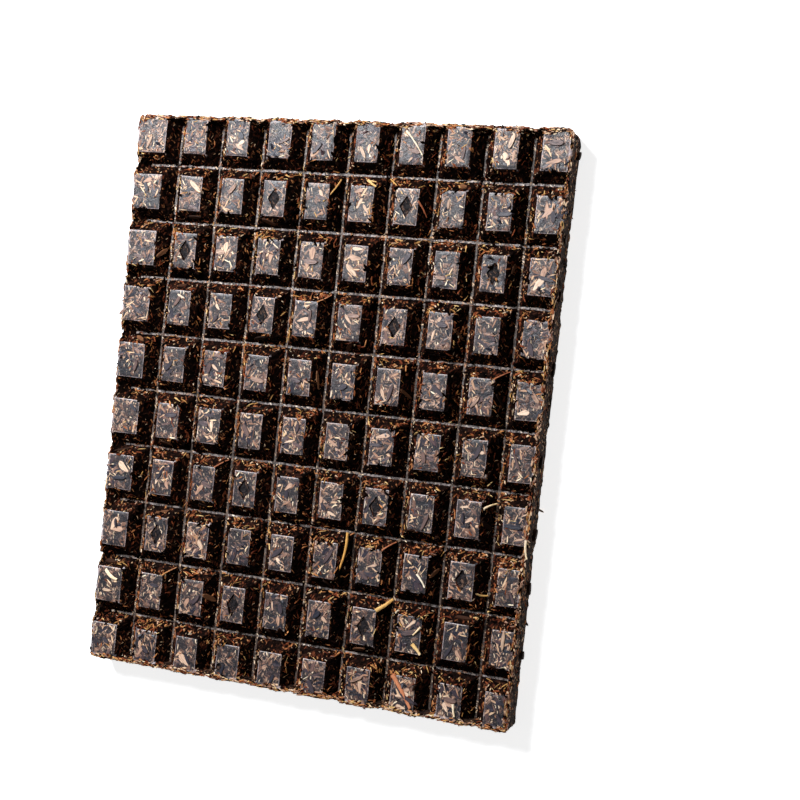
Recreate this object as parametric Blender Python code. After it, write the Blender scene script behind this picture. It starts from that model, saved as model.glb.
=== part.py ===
"""A brick of pressed tea that lies on its plain back, moulded into ten by ten break-off blocks.

Metres, Z up. The origin is under the middle of the brick, on the surface that it rests on.
Columns count from the left and rows from the far edge, both from 0, in whole blocks.
"""

import math
import random

import bmesh
import bpy
from mathutils import Matrix, Vector, noise

# The block pattern that the mould presses in.
COLUMNS = 10
ROWS = 10
PITCH_X = 0.0245
PITCH_Y = 1.222 * PITCH_X
BLOCK_TOP_X = 0.0125
BLOCK_TOP_Y = 0.0181
GROOVE_DEPTH = 0.0070
GROOVE_FLOOR = 0.0011
THICKNESS = 0.0152

# What the mould's frame takes off the outer blocks, at the two ends of each side.
TRIM_LEFT_FAR_NEAR = (0.0008, 0.0035)
TRIM_RIGHT_FAR_NEAR = (0.0032, 0.0062)
TRIM_FAR_LEFT_RIGHT = (0.0046, 0.0030)
TRIM_NEAR_LEFT_RIGHT = (0.0053, 0.0060)

# The grooves stop short of the sides: a level rim, then a sloping end down to the floor.
RIM_LEFT = 0.0007
RIM_OTHER = 0.0013
END_RUN_LEFT = 0.0050
END_RUN_RIGHT = 0.0007
END_RUN_FAR = 0.0022
END_RUN_NEAR = 0.0015

# Wear and unevenness.
SEED = 31
WAVE = 0.0005
WAVE_LEFT = 0.0008
OUTLINE_NOISE = 0.0006
FACE_NOISE = 0.0003
NOISE_LENGTH = 0.006
RIM_WEAR = 0.0006
RIM_DIP_LEFT = 0.0016
CORNER_WEAR = 0.0024
CORNER_REACH = 0.007
WALL_RINGS = 2
WALL_NOISE = 0.0004
BACK_EDGE_INSET = 0.0008

# Pressed lozenge marks on a dozen blocks, and one round dent.
MARKED_BLOCKS = (
    (3, 1), (6, 1), (1, 2), (8, 2), (3, 3), (6, 3),
    (3, 6), (6, 6), (1, 7), (8, 7), (3, 8), (6, 8),
)
MARK_HALF_X = 0.0036
MARK_HALF_Y = 0.0056
MARK_DEPTH = 0.0007
MARK_WALL = 0.0005
LOZENGE_SIDES = 4
DENT_BLOCK = (3, 9)
DENT_SHIFT = (-0.0042, -0.0030)
DENT_RADIUS = 0.0017
DENT_SIDES = 10

# Leaf flakes and stems that stand proud of the pressed faces.
FLAKE_LENGTH = (0.0055, 0.0120)
FLAKE_WIDTH = (0.0016, 0.0032)
FLAKE_PROUD = (0.00035, 0.00075)
FLAKE_BEND = (-0.0001, 0.0003)
FLAKE_SIDES = 6
FLAKE_TAPER = 0.84
FLAKE_ROOT = 0.0011
FLAKE_SHIFT = 0.27
FLAKE_ROOT_ON_WALL = 0.0022
FLAKES_ON_WALLS = 30
WALL_HEIGHT_SHARE = (0.3, 0.75)
WALL_TURN = (1.07, 2.07)
WALL_SPACING = (0.2, 0.8)
WALL_MARGIN = 0.014

# The stems and strips long enough to notice: their two ends as (column, row, level), counted in
# whole blocks from the far left corner of the pattern, with level 1 on a block's top and 0 on a
# groove's floor, then the width and the height of the section.
LONG_STEMS = (
    ((5.87, 6.98, 0.50), (5.80, 7.65, 0.65), 0.0016, 0.0014),
    ((6.74, 8.21, 1.00), (7.00, 7.98, 0.10), 0.0015, 0.0014),
    ((8.74, 7.58, 1.00), (9.00, 7.69, 0.10), 0.0015, 0.0014),
    ((8.80, 6.29, 0.80), (9.00, 6.21, 0.10), 0.0013, 0.0012),
    ((6.34, 0.21, 1.00), (6.73, 0.64, 1.00), 0.0010, 0.0010),
    ((7.22, 9.19, 1.00), (7.67, 9.72, 1.00), 0.0023, 0.0010),
    ((7.60, 8.67, 1.00), (7.77, 8.81, 1.00), 0.0020, 0.0012),
    ((9.77, 6.71, 1.00), (9.79, 6.99, 1.00), 0.0012, 0.0012),
    ((7.55, 7.46, 1.00), (7.72, 7.67, 1.00), 0.0011, 0.0010),
    ((7.72, 8.33, 1.00), (7.58, 8.48, 1.00), 0.0012, 0.0010),
    ((8.57, 9.45, 1.00), (8.61, 9.70, 1.00), 0.0014, 0.0010),
    ((0.34, 8.23, 1.00), (0.64, 8.38, 1.00), 0.0022, 0.0010),
)
STEM_SIDES = 6
STEM_TAPER = 0.8
STEM_BOW = 0.06
LIFT_LEAST = 0.00025

SLOPE_RUN_X = (PITCH_X - BLOCK_TOP_X - GROOVE_FLOOR) / 2
SLOPE_RUN_Y = (PITCH_Y - BLOCK_TOP_Y - GROOVE_FLOOR) / 2
SPAN_X = COLUMNS * PITCH_X
SPAN_Y = ROWS * PITCH_Y


def clear_scene():
    for old in list(bpy.data.objects):
        bpy.data.objects.remove(old, do_unlink=True)


def new_collection(name):
    collection = bpy.data.collections.new(name)
    bpy.context.scene.collection.children.link(collection)
    return collection


def pressed_tea_material():
    material = bpy.data.materials.new("pressed_tea")
    material.use_nodes = True
    shader = material.node_tree.nodes["Principled BSDF"]
    shader.inputs["Base Color"].default_value = (0.055, 0.037, 0.032, 1.0)
    shader.inputs["Roughness"].default_value = 0.5
    shader.inputs["Metallic"].default_value = 0.0
    return material


def object_from_bmesh(name, shape, collection, material):
    mesh = bpy.data.meshes.new(name)
    shape.to_mesh(mesh)
    shape.free()
    thing = bpy.data.objects.new(name, mesh)
    thing.data.materials.append(material)
    collection.objects.link(thing)
    return thing


def block_centre(column, row):
    """The middle of a block, which may also be given as a fraction of a block."""
    return (column + 0.5) * PITCH_X - SPAN_X / 2, SPAN_Y / 2 - (row + 0.5) * PITCH_Y


def between(ends, share):
    return ends[0] + (ends[1] - ends[0]) * share


def ripple(along, pitch):
    """From 1 beside a groove to -1 beside the middle of a block."""
    return math.cos(2 * math.pi * along / pitch)


def side_noise(x, y):
    return OUTLINE_NOISE * noise.noise(Vector((x, y, 0.5)) / NOISE_LENGTH)


def left_side(y):
    far_share = (y + SPAN_Y / 2) / SPAN_Y
    trim = between(TRIM_LEFT_FAR_NEAR, 1 - far_share)
    x = -SPAN_X / 2
    return x + trim + WAVE_LEFT * ripple(y + SPAN_Y / 2, PITCH_Y) + side_noise(x, y)


def right_side(y):
    far_share = (y + SPAN_Y / 2) / SPAN_Y
    trim = between(TRIM_RIGHT_FAR_NEAR, 1 - far_share)
    x = SPAN_X / 2
    return x - trim - WAVE * ripple(y + SPAN_Y / 2, PITCH_Y) + side_noise(x, y)


def far_side(x):
    trim = between(TRIM_FAR_LEFT_RIGHT, (x + SPAN_X / 2) / SPAN_X)
    y = SPAN_Y / 2
    return y - trim - WAVE * ripple(x + SPAN_X / 2, PITCH_X) + side_noise(x, y)


def near_side(x):
    trim = between(TRIM_NEAR_LEFT_RIGHT, (x + SPAN_X / 2) / SPAN_X)
    y = -SPAN_Y / 2
    return y + trim + WAVE * ripple(x + SPAN_X / 2, PITCH_X) + side_noise(x, y)


def pattern_lines(count, pitch, run, rim_low, end_low, rim_high, end_high):
    """The lines across one direction of the pattern, in order.

    Each is (anchor, offset, in_groove, past_end). An offset counts inwards from the low or high
    side, or from the middle of the brick for a line of the grid itself. past_end is true where
    the crossing grooves have reached their floor.
    """
    lines = [("low", 0.0, False, False), ("low", rim_low, False, False)]
    lines.append(("low", rim_low + end_low, False, True))
    start = -count * pitch / 2
    half_floor = GROOVE_FLOOR / 2
    for index in range(1, count):
        groove = start + index * pitch
        lines.append(("grid", groove - half_floor - run, False, True))
        lines.append(("grid", groove - half_floor, True, True))
        lines.append(("grid", groove + half_floor, True, True))
        lines.append(("grid", groove + half_floor + run, False, True))
    lines.append(("high", rim_high + end_high, False, True))
    lines.append(("high", rim_high, False, False))
    lines.append(("high", 0.0, False, False))
    return lines


def line_place(line, low, high):
    anchor, offset = line[0], line[1]
    if anchor == "low":
        return low + offset
    if anchor == "high":
        return high - offset
    return offset


def corner_shift(x, y):
    """Rubs the four corners round: how far a point near one moves in."""
    to_x = SPAN_X / 2 - abs(x)
    to_y = SPAN_Y / 2 - abs(y)
    nearness = max(0.0, 1 - math.hypot(to_x, to_y) / CORNER_REACH)
    inwards = Vector((-math.copysign(1, x), -math.copysign(1, y), 0))
    return inwards * CORNER_WEAR * nearness


def moulded_point(line_x, line_y, guess):
    """The place of one crossing of the pattern's lines, and whether it lies on a groove's floor."""
    y = line_place(line_y, near_side(guess.x), far_side(guess.x))
    x = line_place(line_x, left_side(y), right_side(y))
    on_floor = (line_x[2] and line_y[3]) or (line_y[2] and line_x[3])
    at_side = line_x[:2] in (("low", 0.0), ("high", 0.0)) or line_y[:2] in (("low", 0.0), ("high", 0.0))
    height = THICKNESS
    if on_floor:
        height -= GROOVE_DEPTH
    elif at_side:
        height -= RIM_WEAR * (1 + noise.noise(Vector((x, y, 3)) / NOISE_LENGTH))
    if line_x[0] == "low" and not line_x[3] and line_y[2]:
        height -= RIM_DIP_LEFT
    rough = noise.noise_vector(Vector((x, y, height)) / NOISE_LENGTH) * FACE_NOISE
    return Vector((x, y, height)) + rough + corner_shift(x, y), on_floor


def odd_corner(corners, on_floor):
    """The one corner of a face that differs in level from the other three, if there is one."""
    low = [corner for corner in corners if on_floor[corner]]
    high = [corner for corner in corners if not on_floor[corner]]
    for few in (low, high):
        if len(few) == 1:
            return few[0]
    return None


def crease_mitres(shape, on_floor):
    """Folds each face where two slopes meet along its diagonal, as a mitre."""
    for face in list(shape.faces):
        corners = list(face.verts)
        odd = odd_corner(corners, on_floor)
        if odd is not None:
            opposite = corners[(corners.index(odd) + 2) % len(corners)]
            bmesh.utils.face_split(face, odd, opposite)


def moulded_face():
    """The open upper face: blocks, grooves and rim, as one grid moved on to the pattern's lines."""
    lines_x = pattern_lines(COLUMNS, PITCH_X, SLOPE_RUN_X, RIM_LEFT, END_RUN_LEFT,
                            RIM_OTHER, END_RUN_RIGHT)
    lines_y = pattern_lines(ROWS, PITCH_Y, SLOPE_RUN_Y, RIM_OTHER, END_RUN_NEAR,
                            RIM_OTHER, END_RUN_FAR)
    steps_x = len(lines_x) - 1
    steps_y = len(lines_y) - 1
    shape = bmesh.new()
    bmesh.ops.create_grid(shape, x_segments=steps_x, y_segments=steps_y, size=0.5)
    on_floor = {}
    for corner in shape.verts:
        line_x = lines_x[round((corner.co.x + 0.5) * steps_x)]
        line_y = lines_y[round((corner.co.y + 0.5) * steps_y)]
        guess = Vector((corner.co.x * SPAN_X, corner.co.y * SPAN_Y, 0))
        corner.co, on_floor[corner] = moulded_point(line_x, line_y, guess)
    crease_mitres(shape, on_floor)
    return shape


def add_walls_and_back(shape):
    """Carries the rim down in rings to the flat back, and closes it."""
    ring = [edge for edge in shape.edges if edge.is_boundary]
    for step in range(1, WALL_RINGS + 1):
        made = bmesh.ops.extrude_edge_only(shape, edges=ring)["geom"]
        ring = [item for item in made if isinstance(item, bmesh.types.BMEdge)]
        share_down = step / WALL_RINGS
        for corner in (item for item in made if isinstance(item, bmesh.types.BMVert)):
            rough = noise.noise_vector((corner.co + Vector((0, 0, step))) / NOISE_LENGTH)
            corner.co.x += rough.x * WALL_NOISE
            corner.co.y += rough.y * WALL_NOISE
            corner.co.z = THICKNESS * (1 - share_down)
    for corner in {corner for edge in ring for corner in edge.verts}:
        corner.co.z = 0.0
        corner.co.x -= math.copysign(BACK_EDGE_INSET, corner.co.x)
        corner.co.y -= math.copysign(BACK_EDGE_INSET, corner.co.y)
    bmesh.ops.edgeloop_fill(shape, edges=ring)
    bmesh.ops.triangulate(shape, faces=shape.faces)
    bmesh.ops.recalc_face_normals(shape, faces=shape.faces)


def flake_shape(length, width, proud, bend, root):
    """A leaf flake: six-sided, pointed at both ends, and rooted below z = 0."""
    shape = bmesh.new()
    bmesh.ops.create_cone(shape, cap_ends=True, segments=FLAKE_SIDES, radius1=0.5,
                          radius2=0.5 * FLAKE_TAPER, depth=1.0)
    for corner in shape.verts:
        height = proud if corner.co.z > 0 else -root
        sag = bend * (2 * corner.co.x) ** 2
        corner.co = Vector((corner.co.x * length, corner.co.y * width, height - sag))
    bmesh.ops.triangulate(shape, faces=shape.faces)
    return shape


def stem_shape(length, width, height, bow):
    """A stem or strip: a thin bowed rod that lies along X, half sunk in z = 0."""
    shape = bmesh.new()
    bmesh.ops.create_cone(shape, cap_ends=True, segments=STEM_SIDES, radius1=0.5,
                          radius2=0.5 * STEM_TAPER, depth=length,
                          matrix=Matrix.Rotation(math.radians(90), 4, "Y"))
    bmesh.ops.scale(shape, vec=(1, width, height), verts=shape.verts)
    long_edges = [edge for edge in shape.edges if edge.calc_length() > length / 2]
    bmesh.ops.subdivide_edges(shape, edges=long_edges, cuts=1)
    for corner in shape.verts:
        corner.co.y += bow * (1 - (2 * corner.co.x / length) ** 2)
    bmesh.ops.triangulate(shape, faces=shape.faces)
    return shape


def on_block_top(column, row, shift_x, shift_y, turn):
    x, y = block_centre(column, row)
    return Matrix.Translation((x + shift_x, y + shift_y, THICKNESS)) @ Matrix.Rotation(turn, 4, "Z")


def on_block_slope(column, row, side, shift, turn):
    """The middle of one of a block's four slopes: side 0 faces right, 1 far, 2 left, 3 near."""
    across_x = side % 2 == 0
    run = SLOPE_RUN_X if across_x else SLOPE_RUN_Y
    reach = (BLOCK_TOP_X if across_x else BLOCK_TOP_Y) / 2 + run / 2
    tilt = math.atan2(GROOVE_DEPTH, run)
    x, y = block_centre(column, row)
    facing = Matrix.Rotation(side * math.pi / 2, 4, "Z")
    slope = Matrix.Rotation(tilt, 4, "Y")
    place = Matrix.Translation((x, y, THICKNESS - GROOVE_DEPTH / 2)) @ facing
    return place @ Matrix.Translation((reach, shift, 0)) @ slope @ Matrix.Rotation(turn, 4, "Z")


def on_wall(share, height, turn):
    """A place on the side walls, with share from 0 to 1 once round the brick."""
    quarter = int(share * 4) % 4
    along = share * 4 - int(share * 4) - 0.5
    if quarter in (0, 2):
        y = along * (SPAN_Y - 2 * WALL_MARGIN)
        x = right_side(y) if quarter == 0 else left_side(y)
    else:
        x = along * (SPAN_X - 2 * WALL_MARGIN)
        y = far_side(x) if quarter == 1 else near_side(x)
    facing = Matrix.Rotation(quarter * math.pi / 2, 4, "Z")
    upright = Matrix.Rotation(math.pi / 2, 4, "Y")
    return Matrix.Translation((x, y, height)) @ facing @ upright @ Matrix.Rotation(turn, 4, "Z")


def place_flake(collection, material, draw, place, root=FLAKE_ROOT):
    shape = flake_shape(draw.uniform(*FLAKE_LENGTH), draw.uniform(*FLAKE_WIDTH),
                        draw.uniform(*FLAKE_PROUD), draw.uniform(*FLAKE_BEND), root)
    flake = object_from_bmesh("leaf_flake", shape, collection, material)
    flake.matrix_world = place


def scatter_flakes(collection, material):
    """A flake on each unmarked block's top, one on a slope of every second block, some on walls."""
    draw = random.Random(SEED)
    for column in range(COLUMNS):
        for row in range(ROWS):
            if (column, row) not in MARKED_BLOCKS:
                shift_x = draw.uniform(-FLAKE_SHIFT, FLAKE_SHIFT) * BLOCK_TOP_X
                shift_y = draw.uniform(-FLAKE_SHIFT, FLAKE_SHIFT) * BLOCK_TOP_Y
                turn = draw.uniform(0, math.pi)
                place_flake(collection, material, draw,
                            on_block_top(column, row, shift_x, shift_y, turn))
            side = draw.choice((0, 1, 3))
            inside = column < COLUMNS - 1 and 0 < row < ROWS - 1
            if inside and (column + row) % 2 == 0:
                shift = draw.uniform(-FLAKE_SHIFT, FLAKE_SHIFT) * BLOCK_TOP_X
                turn = draw.uniform(0, math.pi)
                place_flake(collection, material, draw,
                            on_block_slope(column, row, side, shift, turn))
    for index in range(FLAKES_ON_WALLS):
        height = THICKNESS * draw.uniform(*WALL_HEIGHT_SHARE)
        turn = draw.uniform(*WALL_TURN)
        share = (index + draw.uniform(*WALL_SPACING)) / FLAKES_ON_WALLS
        place_flake(collection, material, draw, on_wall(share, height, turn), FLAKE_ROOT_ON_WALL)


def stem_end(column, row, level):
    x, y = block_centre(column - 0.5, row - 0.5)
    return Vector((x, y, THICKNESS - GROOVE_DEPTH * (1 - level) + LIFT_LEAST))


def lay_long_stems(collection, material):
    draw = random.Random(SEED)
    for start, end, width, height in LONG_STEMS:
        first = stem_end(*start)
        last = stem_end(*end)
        along = last - first
        bow = draw.uniform(-STEM_BOW, STEM_BOW) * along.length
        shape = stem_shape(along.length, width, height, bow)
        stem = object_from_bmesh("stem", shape, collection, material)
        turn = along.to_track_quat("X", "Z").to_matrix().to_4x4()
        stem.matrix_world = Matrix.Translation((first + last) / 2) @ turn


def mark_cutter(name, place, half_x, half_y, sides, collection, material):
    """A shallow plug that widens upwards, for a lozenge mark or a round dent."""
    shape = bmesh.new()
    depth = 2 * MARK_DEPTH
    bmesh.ops.create_cone(shape, cap_ends=True, segments=sides, radius1=1 - MARK_WALL / half_x,
                          radius2=1 + MARK_WALL / half_x, depth=depth)
    bmesh.ops.scale(shape, vec=(half_x, half_y, 1), verts=shape.verts)
    cutter = object_from_bmesh(name, shape, collection, material)
    cutter.matrix_world = place
    cutter.hide_render = True
    cutter.display_type = "WIRE"


def add_mark_cutters(collection, material):
    for column, row in MARKED_BLOCKS:
        place = on_block_top(column, row, 0, 0, 0)
        mark_cutter("lozenge_cutter", place, MARK_HALF_X, MARK_HALF_Y, LOZENGE_SIDES,
                    collection, material)
    dent = on_block_top(*DENT_BLOCK, *DENT_SHIFT, 0)
    mark_cutter("dent_cutter", dent, DENT_RADIUS, DENT_RADIUS, DENT_SIDES, collection, material)


def apply_boolean(target, collection, operation, solver):
    """Joins or cuts with every object of a collection, then removes those objects."""
    step = target.modifiers.new(operation.lower(), "BOOLEAN")
    step.operation = operation
    step.operand_type = "COLLECTION"
    step.collection = collection
    step.solver = solver
    graph = bpy.context.evaluated_depsgraph_get()
    finished = bpy.data.meshes.new_from_object(target.evaluated_get(graph), depsgraph=graph)
    target.modifiers.clear()
    target.data = finished
    for helper in list(collection.objects):
        bpy.data.objects.remove(helper, do_unlink=True)
    bpy.data.collections.remove(collection)


def centre_over_origin(thing):
    """Moves the finished mesh so that the middle of its outline is over the origin."""
    xs = [corner.co.x for corner in thing.data.vertices]
    ys = [corner.co.y for corner in thing.data.vertices]
    middle = Vector(((min(xs) + max(xs)) / 2, (min(ys) + max(ys)) / 2, 0))
    thing.data.transform(Matrix.Translation(-middle))


def build_brick():
    clear_scene()
    parts = new_collection("tea_brick")
    flakes = new_collection("flakes_and_stems")
    cutters = new_collection("mark_cutters")
    material = pressed_tea_material()

    shape = moulded_face()
    add_walls_and_back(shape)
    brick = object_from_bmesh("tea_brick", shape, parts, material)

    add_mark_cutters(cutters, material)
    apply_boolean(brick, cutters, "DIFFERENCE", "EXACT")
    scatter_flakes(flakes, material)
    lay_long_stems(flakes, material)
    apply_boolean(brick, flakes, "UNION", "EXACT")
    centre_over_origin(brick)


build_brick()
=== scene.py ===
"""A moulded brick of pressed dark tea that lies on its back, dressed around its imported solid."""
import math
import random

import bmesh
import bpy
import numpy as np
from mathutils import Matrix, Vector, noise
from mathutils.bvhtree import BVHTree


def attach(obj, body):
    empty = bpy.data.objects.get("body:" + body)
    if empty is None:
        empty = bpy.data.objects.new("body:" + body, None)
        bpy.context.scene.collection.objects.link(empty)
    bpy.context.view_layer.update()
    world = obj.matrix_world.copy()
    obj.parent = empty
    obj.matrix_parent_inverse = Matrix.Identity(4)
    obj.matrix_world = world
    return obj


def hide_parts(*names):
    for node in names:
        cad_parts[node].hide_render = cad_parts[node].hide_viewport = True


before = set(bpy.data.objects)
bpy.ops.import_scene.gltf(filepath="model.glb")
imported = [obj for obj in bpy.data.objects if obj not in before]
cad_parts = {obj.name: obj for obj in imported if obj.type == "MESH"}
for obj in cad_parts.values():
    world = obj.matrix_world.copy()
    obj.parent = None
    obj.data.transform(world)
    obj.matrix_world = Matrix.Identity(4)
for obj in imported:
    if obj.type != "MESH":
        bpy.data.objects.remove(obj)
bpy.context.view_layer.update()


# ---- The brick: its moulded form ---------------------------------------------------------------
# Dark tea leaf, steamed soft and pressed hard in a mould, so it is all one piece. The mould's
# plate leaves ten by ten blocks with polished tops, rough slopes and narrow rubbed grooves, and
# its frame leaves four crumbly sides. Columns count from the left, rows from the far edge.

COLUMNS = 10
ROWS = 10
PITCH_X = 0.0245
PITCH_Y = 1.222 * PITCH_X
BLOCK_TOP_X = 0.0125
BLOCK_TOP_Y = 0.0181
GROOVE_DEPTH = 0.0070
GROOVE_FLOOR = 0.0011
THICKNESS = 0.0152
SLOPE_RUN_X = (PITCH_X - BLOCK_TOP_X - GROOVE_FLOOR) / 2
SLOPE_RUN_Y = (PITCH_Y - BLOCK_TOP_Y - GROOVE_FLOOR) / 2
SPAN_X = COLUMNS * PITCH_X
SPAN_Y = ROWS * PITCH_Y
PATTERN_MIDDLE = Vector((0.00096, -0.00110, 0))

TRIM_LEFT_FAR_NEAR = (0.0008, 0.0035)
TRIM_RIGHT_FAR_NEAR = (0.0032, 0.0062)
TRIM_FAR_LEFT_RIGHT = (0.0046, 0.0030)
TRIM_NEAR_LEFT_RIGHT = (0.0053, 0.0060)
RIM_LEFT = 0.0007
RIM_OTHER = 0.0013
END_RUN_LEFT = 0.0050
END_RUN_RIGHT = 0.0007
END_RUN_FAR = 0.0022
END_RUN_NEAR = 0.0015
WAVE = 0.0005
WAVE_LEFT = 0.0008
OUTLINE_NOISE = 0.0006
FACE_NOISE = 0.0003
NOISE_LENGTH = 0.006
RIM_WEAR = 0.0006
RIM_DIP_LEFT = 0.0016
CORNER_WEAR = 0.0024
CORNER_REACH = 0.007
BACK_EDGE_INSET = 0.0008


def between(ends, share):
    return ends[0] + (ends[1] - ends[0]) * share


def ripple(along, pitch):
    """From 1 beside a groove to -1 beside the middle of a block."""
    return math.cos(2 * math.pi * along / pitch)


def side_noise(x, y):
    return OUTLINE_NOISE * noise.noise(Vector((x, y, 0.5)) / NOISE_LENGTH)


def left_side(y):
    trim = between(TRIM_LEFT_FAR_NEAR, 0.5 - y / SPAN_Y)
    x = -SPAN_X / 2
    return x + trim + WAVE_LEFT * ripple(y + SPAN_Y / 2, PITCH_Y) + side_noise(x, y)


def right_side(y):
    trim = between(TRIM_RIGHT_FAR_NEAR, 0.5 - y / SPAN_Y)
    x = SPAN_X / 2
    return x - trim - WAVE * ripple(y + SPAN_Y / 2, PITCH_Y) + side_noise(x, y)


def far_side(x):
    trim = between(TRIM_FAR_LEFT_RIGHT, x / SPAN_X + 0.5)
    y = SPAN_Y / 2
    return y - trim - WAVE * ripple(x + SPAN_X / 2, PITCH_X) + side_noise(x, y)


def near_side(x):
    trim = between(TRIM_NEAR_LEFT_RIGHT, x / SPAN_X + 0.5)
    y = -SPAN_Y / 2
    return y + trim + WAVE * ripple(x + SPAN_X / 2, PITCH_X) + side_noise(x, y)


def pattern_lines(count, pitch, run, rim_low, end_low, rim_high, end_high):
    """The main lines across one direction, in order: (anchor, offset, in_groove, past_end)."""
    lines = [("low", 0.0, False, False), ("low", rim_low, False, False)]
    lines.append(("low", rim_low + end_low, False, True))
    half_floor = GROOVE_FLOOR / 2
    for index in range(1, count):
        groove = index * pitch - count * pitch / 2
        lines.append(("grid", groove - half_floor - run, False, True))
        lines.append(("grid", groove - half_floor, True, True))
        lines.append(("grid", groove + half_floor, True, True))
        lines.append(("grid", groove + half_floor + run, False, True))
    lines.append(("high", rim_high + end_high, False, True))
    lines.append(("high", rim_high, False, False))
    lines.append(("high", 0.0, False, False))
    return lines


def line_place(line, low, high):
    if line[0] == "low":
        return low + line[1]
    if line[0] == "high":
        return high - line[1]
    return line[1]


def corner_shift(x, y):
    """Rubs the four corners round: how far a point near one moves in."""
    to_corner = math.hypot(SPAN_X / 2 - abs(x), SPAN_Y / 2 - abs(y))
    nearness = max(0.0, 1 - to_corner / CORNER_REACH)
    return Vector((-math.copysign(1, x), -math.copysign(1, y), 0)) * CORNER_WEAR * nearness


def moulded_point(line_x, line_y, guess):
    """The place of one crossing of the main lines, and whether it lies on a groove's floor."""
    y = line_place(line_y, near_side(guess.x), far_side(guess.x))
    x = line_place(line_x, left_side(y), right_side(y))
    on_floor = (line_x[2] and line_y[3]) or (line_y[2] and line_x[3])
    outer = (("low", 0.0), ("high", 0.0))
    height = THICKNESS
    if on_floor:
        height -= GROOVE_DEPTH
    elif line_x[:2] in outer or line_y[:2] in outer:
        height -= RIM_WEAR * (1 + noise.noise(Vector((x, y, 3)) / NOISE_LENGTH))
    if line_x[0] == "low" and not line_x[3] and line_y[2]:
        height -= RIM_DIP_LEFT
    rough = noise.noise_vector(Vector((x, y, height)) / NOISE_LENGTH) * FACE_NOISE
    return Vector((x, y, height)) + rough + corner_shift(x, y), on_floor


LINES_X = pattern_lines(COLUMNS, PITCH_X, SLOPE_RUN_X, RIM_LEFT, END_RUN_LEFT,
                        RIM_OTHER, END_RUN_RIGHT)
LINES_Y = pattern_lines(ROWS, PITCH_Y, SLOPE_RUN_Y, RIM_OTHER, END_RUN_NEAR,
                        RIM_OTHER, END_RUN_FAR)


def main_crossings():
    """Every crossing of the main lines, as crossings[i][j] = (place, on_floor)."""
    crossings = []
    for i, line_x in enumerate(LINES_X):
        guess_x = (i / (len(LINES_X) - 1) - 0.5) * SPAN_X
        column = []
        for j, line_y in enumerate(LINES_Y):
            guess_y = (j / (len(LINES_Y) - 1) - 0.5) * SPAN_Y
            column.append(moulded_point(line_x, line_y, Vector((guess_x, guess_y, 0))))
        crossings.append(column)
    return crossings


# ---- The brick: its fine surface ---------------------------------------------------------------
# The press leaves the block tops smooth with slightly crushed edges. The slopes tear as the plate
# is drawn out, so broken leaf stands up there, and the cut sides crumble most.

FINE_STEP = 0.00092
TOP_STEP = 0.0018
TOP_SPAN_LEAST = 0.009
EDGE_STEP = 0.0004
EDGE_CRUSH = 0.00014
CHIP_DEPTH = 0.0006
CHIP_LENGTH = 0.0026
CHIP_SHARE = 0.42
ROUGH_LONG = 0.0032
ROUGH_SHORT = 0.0013
ROUGH_LONG_WEIGHT = 0.6
ROUGH_TOP = 0.00005
ROUGH_SLOPE = 0.00034
ROUGH_FLOOR = 0.00012
ROUGH_RIM = 0.00045
WALL_RINGS = 13
WALL_ROUGH = 0.00045
WALL_FOOT = 0.0012
WALL_ROUGH_LEAST = 0.3
WALL_ROUGH_UPWARDS = 0.5
WALL_FACING = 0.5
WALL_BELOW_TOP = 0.0015


def fine_lines(spans):
    """The fine grid's lines across one direction, each (main line before it, share to the next)."""
    lines = []
    for index, length in enumerate(spans):
        if length > TOP_SPAN_LEAST:
            steps = round(length / TOP_STEP)
            edge = EDGE_STEP / length
            shares = [0.0, edge] + [step / steps for step in range(1, steps)] + [1 - edge]
        else:
            steps = max(1, round(length / FINE_STEP))
            shares = [step / steps for step in range(steps)]
        lines += [(index, share) for share in shares]
    lines.append((len(spans) - 1, 1.0))
    return lines


def cell_kind(crossings, i, j):
    """What lies between four main crossings: rim, floor, top or slope."""
    if i in (0, len(LINES_X) - 2) or j in (0, len(LINES_Y) - 2):
        return "rim"
    floors = sum(crossings[i + a][j + b][1] for a in (0, 1) for b in (0, 1))
    if floors == 4:
        return "floor"
    return "slope" if floors else "top"


ROUGHNESS = {"rim": ROUGH_RIM, "floor": ROUGH_FLOOR, "top": ROUGH_TOP, "slope": ROUGH_SLOPE}


def kinds_round(kinds, i, s, j, t):
    """The kinds of the cells that meet at a place in the grid."""
    over_i = [i]
    over_j = [j]
    if s == 0.0 and i > 0:
        over_i.append(i - 1)
    if t == 0.0 and j > 0:
        over_j.append(j - 1)
    return [kinds[a][b] for a in over_i for b in over_j]


def place_in_cell(crossings, i, s, j, t):
    """The place at shares s and t of a cell, folded along a mitre where two slopes meet."""
    low_low, low_high = crossings[i][j], crossings[i][j + 1]
    high_low, high_high = crossings[i + 1][j], crossings[i + 1][j + 1]
    a, b, c, d = low_low[0], high_low[0], low_high[0], high_high[0]
    floors = [low_low[1], high_low[1], low_high[1], high_high[1]]
    odd = [floors.count(floor) == 1 for floor in floors]
    if odd[0] or odd[3]:
        if s >= t:
            return a + (b - a) * s + (d - b) * t
        return a + (c - a) * t + (d - c) * s
    if odd[1] or odd[2]:
        if s + t <= 1:
            return a + (b - a) * s + (c - a) * t
        return d + (c - d) * (1 - s) + (b - d) * (1 - t)
    return (a * (1 - s) + b * s) * (1 - t) + (c * (1 - s) + d * s) * t


def rough_shift(place, amount):
    slow = noise.noise_vector(place / ROUGH_LONG)
    quick = noise.noise_vector(place / ROUGH_SHORT)
    return (slow * ROUGH_LONG_WEIGHT + quick) * amount


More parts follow.
